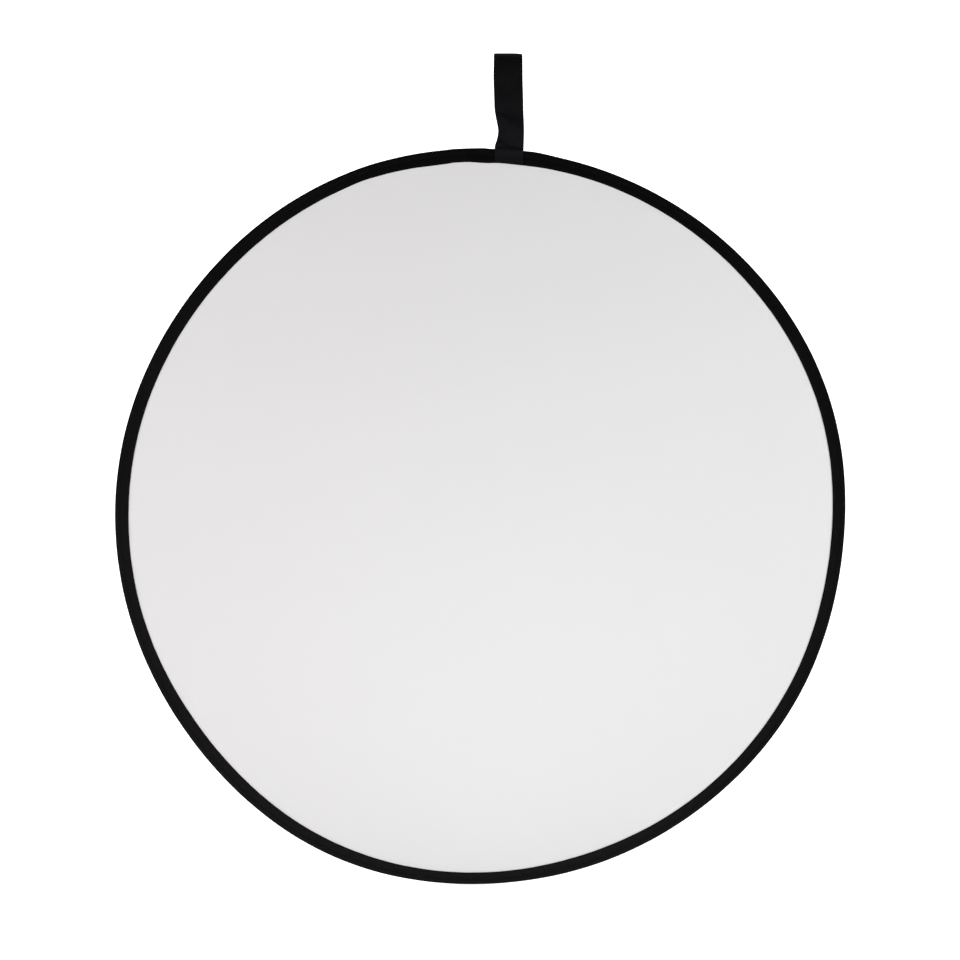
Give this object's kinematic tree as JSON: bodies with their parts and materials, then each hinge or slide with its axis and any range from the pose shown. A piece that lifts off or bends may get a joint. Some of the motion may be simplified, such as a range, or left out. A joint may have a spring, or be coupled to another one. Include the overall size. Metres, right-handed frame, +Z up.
{
  "type": "collapsible reflector disc",
  "caption": "Round hand-held light reflector: white fabric stretched in a black-bound sprung steel hoop, with a webbing strap at the top; the hoop coils into three small loops.",
  "frame": {"origin": "lowest point of the rim, in the middle of its thickness; the middle of the disc is at (0, 0, 0.4) m", "axes": "+Z up with the strap at the top, -Y out of the white front face, +X to the right seen from the front"},
  "size_m": [0.7998, 0.018, 0.904],
  "materials": {
    "binding_tape": "matt woven black tape",
    "spring_steel": "bare rolled spring steel",
    "ferrule_metal": "bright plated sleeve",
    "white_fabric": "fine matt white woven polyester",
    "silver_fabric": "metallised silver fabric, satin",
    "strap_webbing": "matt black woven webbing",
    "strap_thread": "black sewing thread"
  },
  "bodies": {
    "disc": {"binding_root": "binding_tape", "hoop_root_left": "spring_steel", "hoop_root_right": "spring_steel", "hoop_ferrule": "ferrule_metal", "fabric_front_white": "white_fabric", "fabric_rear_silver": "silver_fabric", "strap_leg_front": "strap_webbing", "strap_leg_rear": "strap_webbing", "strap_tack_front": "strap_thread", "strap_tack_rear": "strap_thread"},
    "rim_R01": {"binding_R01": "binding_tape", "hoop_R01": "spring_steel"},
    "rim_R02": {"binding_R02": "binding_tape", "hoop_R02": "spring_steel"},
    "rim_R03": {"binding_R03": "binding_tape", "hoop_R03": "spring_steel"},
    "rim_R04": {"binding_R04": "binding_tape", "hoop_R04": "spring_steel"},
    "rim_R05": {"binding_R05": "binding_tape", "hoop_R05": "spring_steel"},
    "rim_R06": {"binding_R06": "binding_tape", "hoop_R06": "spring_steel"},
    "rim_R07": {"binding_R07": "binding_tape", "hoop_R07": "spring_steel"},
    "rim_R08": {"binding_R08": "binding_tape", "hoop_R08": "spring_steel"},
    "rim_R09": {"binding_R09": "binding_tape", "hoop_R09": "spring_steel"},
    "rim_R10": {"binding_R10": "binding_tape", "hoop_R10": "spring_steel"},
    "rim_R11": {"binding_R11": "binding_tape", "hoop_R11": "spring_steel"},
    "rim_L01": {"binding_L01": "binding_tape", "hoop_L01": "spring_steel"},
    "rim_L02": {"binding_L02": "binding_tape", "hoop_L02": "spring_steel"},
    "rim_L03": {"binding_L03": "binding_tape", "hoop_L03": "spring_steel"},
    "rim_L04": {"binding_L04": "binding_tape", "hoop_L04": "spring_steel"},
    "rim_L05": {"binding_L05": "binding_tape", "hoop_L05": "spring_steel"},
    "rim_L06": {"binding_L06": "binding_tape", "hoop_L06": "spring_steel"},
    "rim_L07": {"binding_L07": "binding_tape", "hoop_L07": "spring_steel"},
    "rim_L08": {"binding_L08": "binding_tape", "hoop_L08": "spring_steel"},
    "rim_L09": {"binding_L09": "binding_tape", "hoop_L09": "spring_steel"},
    "rim_L10": {"binding_L10": "binding_tape", "hoop_L10": "spring_steel"},
    "rim_L11": {"binding_L11": "binding_tape", "hoop_L11": "spring_steel"},
    "strap": {"strap_loop": "strap_webbing"}
  },
  "joints": [
    {"name": "fold", "type": "hinge", "parent": "disc", "child": "rim_R01", "pos_m": [0.05414, 0, 0.7939], "axis": [-0.0311, 0.9995, 0.0043], "range_deg": [0, 31.3], "stiffness_Nm_per_rad": 0.39, "springref_deg": -14.41, "deforming": ["fabric_front_white", "fabric_rear_silver"]},
    {"name": "fold_R02", "type": "hinge", "parent": "rim_R01", "child": "rim_R02", "pos_m": [0.1584, 0, 0.76468], "axis": [-0.0288, 0.9995, 0.0125], "range_deg": [0, 31.31], "stiffness_Nm_per_rad": 0.39, "springref_deg": -7.53},
    {"name": "fold_R03", "type": "hinge", "parent": "rim_R02", "child": "rim_R03", "pos_m": [0.25092, 0, 0.70842], "axis": [-0.0244, 0.9995, 0.0198], "range_deg": [0, 31.31], "stiffness_Nm_per_rad": 0.39, "springref_deg": -2.01},
    {"name": "fold_R04", "type": "hinge", "parent": "rim_R03", "child": "rim_R04", "pos_m": [0.32483, 0, 0.62929], "axis": [-0.0181, 0.9995, 0.0257], "range_deg": [0, 31.31], "stiffness_Nm_per_rad": 0.39, "springref_deg": 1.94},
    {"name": "fold_R05", "type": "hinge", "parent": "rim_R04", "child": "rim_R05", "pos_m": [0.37464, 0, 0.53315], "axis": [-0.0105, 0.9995, 0.0296], "range_deg": [0, 31.31], "stiffness_Nm_per_rad": 0.39, "springref_deg": 4.29},
    {"name": "fold_R06", "type": "hinge", "parent": "rim_R05", "child": "rim_R06", "pos_m": [0.39667, 0, 0.42713], "axis": [-0.0021, 0.9995, 0.0313], "range_deg": [0, 31.31], "stiffness_Nm_per_rad": 0.39, "springref_deg": 5.2},
    {"name": "fold_R07", "type": "hinge", "parent": "rim_R06", "child": "rim_R07", "pos_m": [0.38928, 0, 0.31911], "axis": [0.0064, 0.9995, 0.0308], "range_deg": [0, 31.31], "stiffness_Nm_per_rad": 0.39, "springref_deg": 4.95},
    {"name": "fold_R08", "type": "hinge", "parent": "rim_R07", "child": "rim_R08", "pos_m": [0.35302, 0, 0.21708], "axis": [0.0145, 0.9995, 0.0279], "range_deg": [0, 31.31], "stiffness_Nm_per_rad": 0.39, "springref_deg": 3.94},
    {"name": "fold_R09", "type": "hinge", "parent": "rim_R08", "child": "rim_R09", "pos_m": [0.29058, 0, 0.12862], "axis": [0.0214, 0.9995, 0.023], "range_deg": [0, 31.31], "stiffness_Nm_per_rad": 0.39, "springref_deg": 2.58},
    {"name": "fold_R10", "type": "hinge", "parent": "rim_R09", "child": "rim_R10", "pos_m": [0.20659, 0, 0.06028], "axis": [0.0268, 0.9995, 0.0163], "range_deg": [0, 31.31], "stiffness_Nm_per_rad": 0.39, "springref_deg": 1.27},
    {"name": "fold_R11", "type": "hinge", "parent": "rim_R10", "child": "rim_R11", "pos_m": [0.10727, 0, 0.01714], "axis": [0.0302, 0.9995, 0.0085], "range_deg": [0, 31.31], "stiffness_Nm_per_rad": 0.39, "springref_deg": 0.34},
    {"name": "fold_L01", "type": "hinge", "parent": "disc", "child": "rim_L01", "pos_m": [-0.05414, 0, 0.7939], "axis": [0.0311, -0.9995, 0.0043], "range_deg": [0, 31.31], "stiffness_Nm_per_rad": 0.39, "springref_deg": -14.41},
    {"name": "fold_L02", "type": "hinge", "parent": "rim_L01", "child": "rim_L02", "pos_m": [-0.1584, 0, 0.76468], "axis": [0.0288, -0.9995, 0.0125], "range_deg": [0, 31.31], "stiffness_Nm_per_rad": 0.39, "springref_deg": -7.53},
    {"name": "fold_L03", "type": "hinge", "parent": "rim_L02", "child": "rim_L03", "pos_m": [-0.25092, 0, 0.70842], "axis": [0.0244, -0.9995, 0.0198], "range_deg": [0, 31.31], "stiffness_Nm_per_rad": 0.39, "springref_deg": -2.01},
    {"name": "fold_L04", "type": "hinge", "parent": "rim_L03", "child": "rim_L04", "pos_m": [-0.32483, 0, 0.62929], "axis": [0.0181, -0.9995, 0.0257], "range_deg": [0, 31.31], "stiffness_Nm_per_rad": 0.39, "springref_deg": 1.94},
    {"name": "fold_L05", "type": "hinge", "parent": "rim_L04", "child": "rim_L05", "pos_m": [-0.37464, 0, 0.53315], "axis": [0.0105, -0.9995, 0.0296], "range_deg": [0, 31.31], "stiffness_Nm_per_rad": 0.39, "springref_deg": 4.29},
    {"name": "fold_L06", "type": "hinge", "parent": "rim_L05", "child": "rim_L06", "pos_m": [-0.39667, 0, 0.42713], "axis": [0.0021, -0.9995, 0.0313], "range_deg": [0, 31.31], "stiffness_Nm_per_rad": 0.39, "springref_deg": 5.2},
    {"name": "fold_L07", "type": "hinge", "parent": "rim_L06", "child": "rim_L07", "pos_m": [-0.38928, 0, 0.31911], "axis": [-0.0064, -0.9995, 0.0308], "range_deg": [0, 31.31], "stiffness_Nm_per_rad": 0.39, "springref_deg": 4.95},
    {"name": "fold_L08", "type": "hinge", "parent": "rim_L07", "child": "rim_L08", "pos_m": [-0.35302, 0, 0.21708], "axis": [-0.0145, -0.9995, 0.0279], "range_deg": [0, 31.31], "stiffness_Nm_per_rad": 0.39, "springref_deg": 3.94},
    {"name": "fold_L09", "type": "hinge", "parent": "rim_L08", "child": "rim_L09", "pos_m": [-0.29058, 0, 0.12862], "axis": [-0.0214, -0.9995, 0.023], "range_deg": [0, 31.31], "stiffness_Nm_per_rad": 0.39, "springref_deg": 2.58},
    {"name": "fold_L10", "type": "hinge", "parent": "rim_L09", "child": "rim_L10", "pos_m": [-0.20659, 0, 0.06028], "axis": [-0.0268, -0.9995, 0.0163], "range_deg": [0, 31.31], "stiffness_Nm_per_rad": 0.39, "springref_deg": 1.27},
    {"name": "fold_L11", "type": "hinge", "parent": "rim_L10", "child": "rim_L11", "pos_m": [-0.10727, 0, 0.01714], "axis": [-0.0302, -0.9995, 0.0085], "range_deg": [0, 31.31], "stiffness_Nm_per_rad": 0.39, "springref_deg": 0.34},
    {"name": "strap_swing", "type": "hinge", "parent": "disc", "child": "strap", "pos_m": [0.031, 0, 0.806], "axis": [1, 0, 0], "range_deg": [-65, 85], "stiffness_Nm_per_rad": 0.01}
  ],
  "couplings": [
    {"joint": "fold_R02", "follows": "fold", "ratio": 1},
    {"joint": "fold_R03", "follows": "fold", "ratio": 1},
    {"joint": "fold_R04", "follows": "fold", "ratio": 1},
    {"joint": "fold_R05", "follows": "fold", "ratio": 1},
    {"joint": "fold_R06", "follows": "fold", "ratio": 1},
    {"joint": "fold_R07", "follows": "fold", "ratio": 1},
    {"joint": "fold_R08", "follows": "fold", "ratio": 1},
    {"joint": "fold_R09", "follows": "fold", "ratio": 1},
    {"joint": "fold_R10", "follows": "fold", "ratio": 1},
    {"joint": "fold_R11", "follows": "fold", "ratio": 1},
    {"joint": "fold_L01", "follows": "fold", "ratio": 1},
    {"joint": "fold_L02", "follows": "fold", "ratio": 1},
    {"joint": "fold_L03", "follows": "fold", "ratio": 1},
    {"joint": "fold_L04", "follows": "fold", "ratio": 1},
    {"joint": "fold_L05", "follows": "fold", "ratio": 1},
    {"joint": "fold_L06", "follows": "fold", "ratio": 1},
    {"joint": "fold_L07", "follows": "fold", "ratio": 1},
    {"joint": "fold_L08", "follows": "fold", "ratio": 1},
    {"joint": "fold_L09", "follows": "fold", "ratio": 1},
    {"joint": "fold_L10", "follows": "fold", "ratio": 1},
    {"joint": "fold_L11", "follows": "fold", "ratio": 1}
  ]
}
